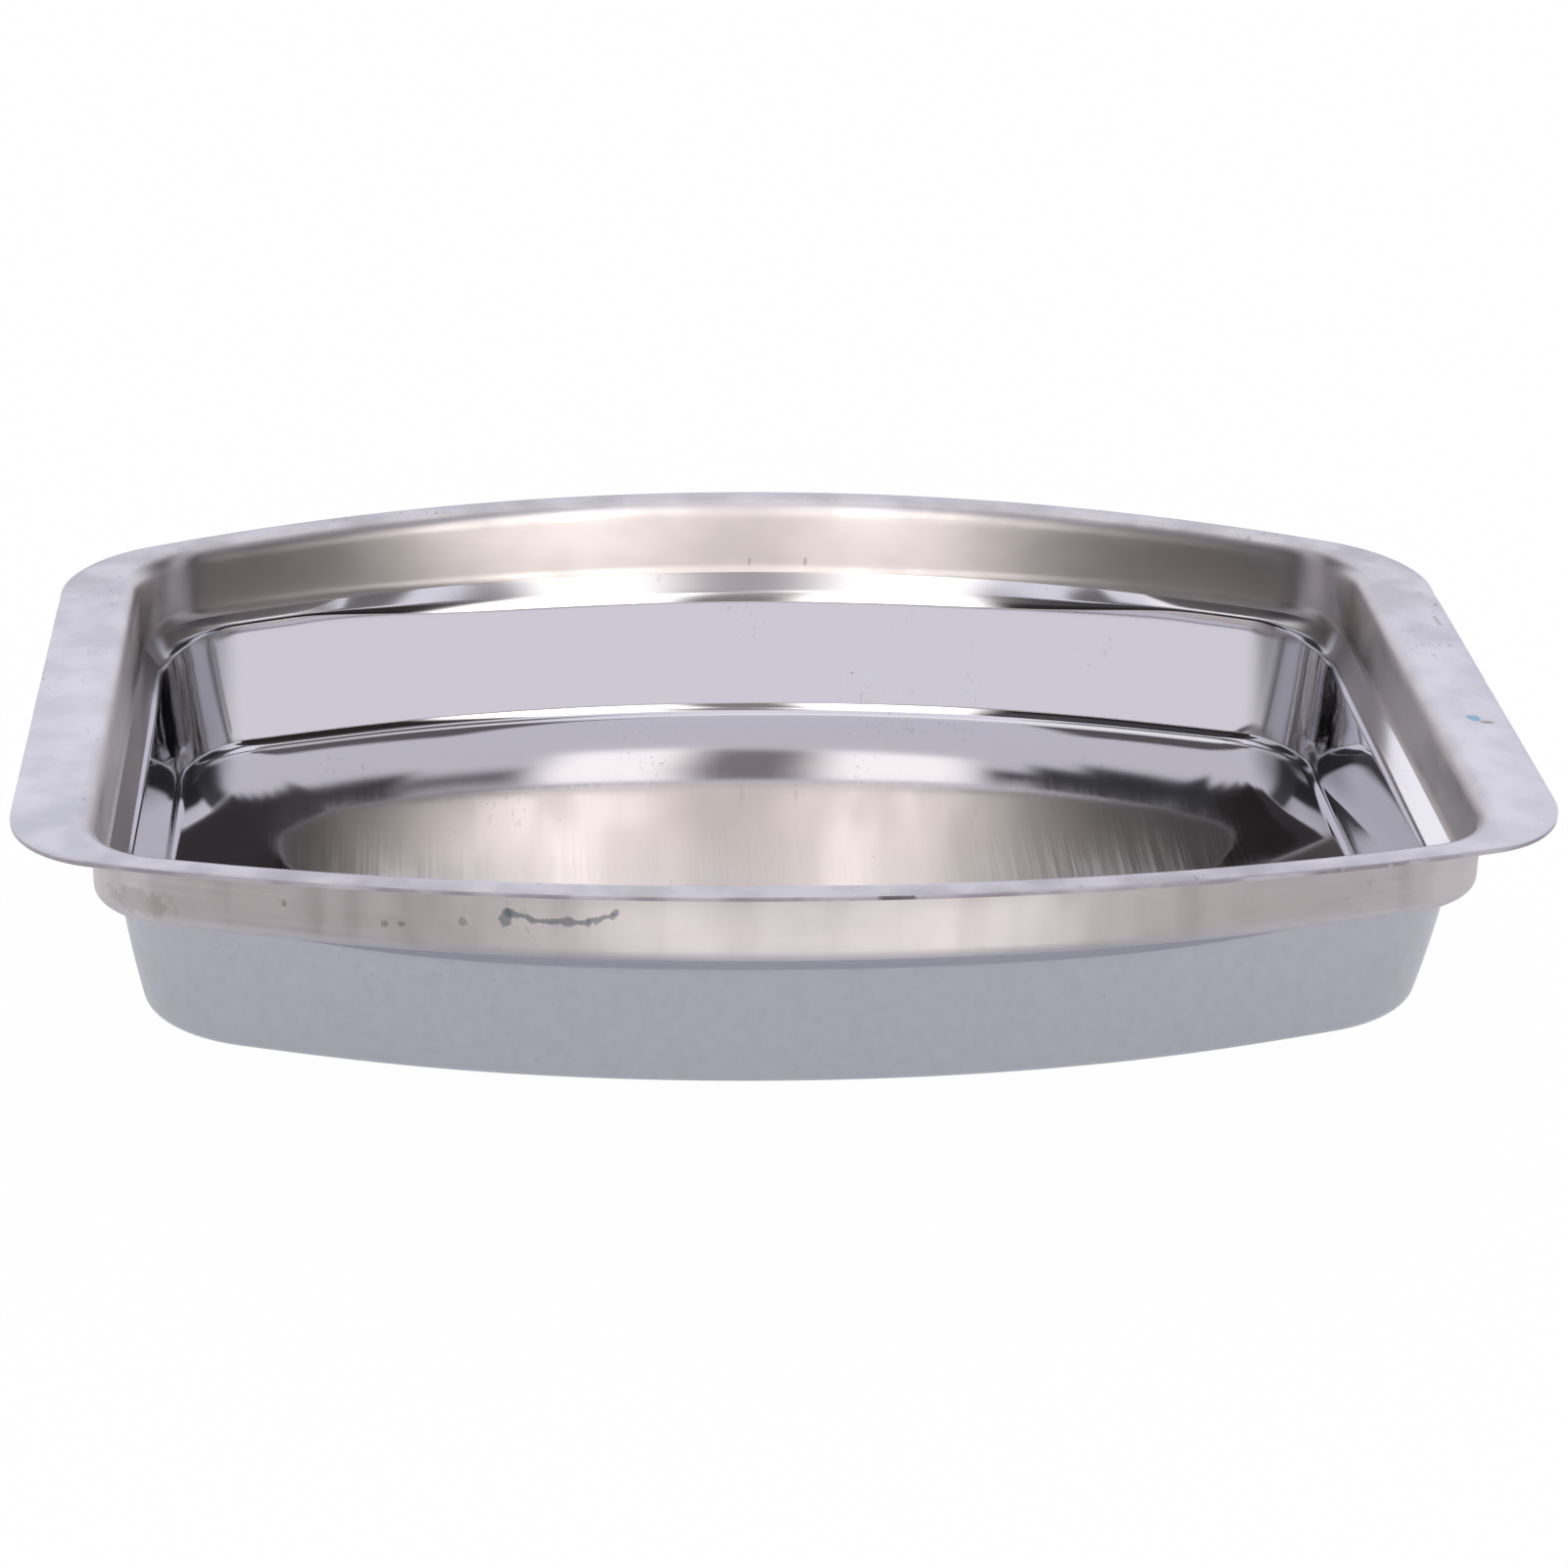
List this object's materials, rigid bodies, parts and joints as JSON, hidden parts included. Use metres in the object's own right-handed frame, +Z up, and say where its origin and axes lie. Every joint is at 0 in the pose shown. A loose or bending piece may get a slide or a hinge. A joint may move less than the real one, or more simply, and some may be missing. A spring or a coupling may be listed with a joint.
{
  "type": "tray",
  "caption": "Shallow drawn stainless steel tray with wide end wings, bowed long edges, a stepped wall and a gently dished floor, for holding or catching small goods.",
  "frame": {"origin": "middle of the underside of the flat pad at the centre of the floor, where the tray rests", "axes": "+X along the tray's length towards the right wing, +Y towards the back bowed edge, +Z up"},
  "size_m": [0.18, 0.127, 0.0352],
  "materials": {
    "stainless_steel": "bright drawn stainless, satin on the upper band"
  },
  "bodies": {
    "root": {"pressed_tray": "stainless_steel"}
  },
  "joints": []
}
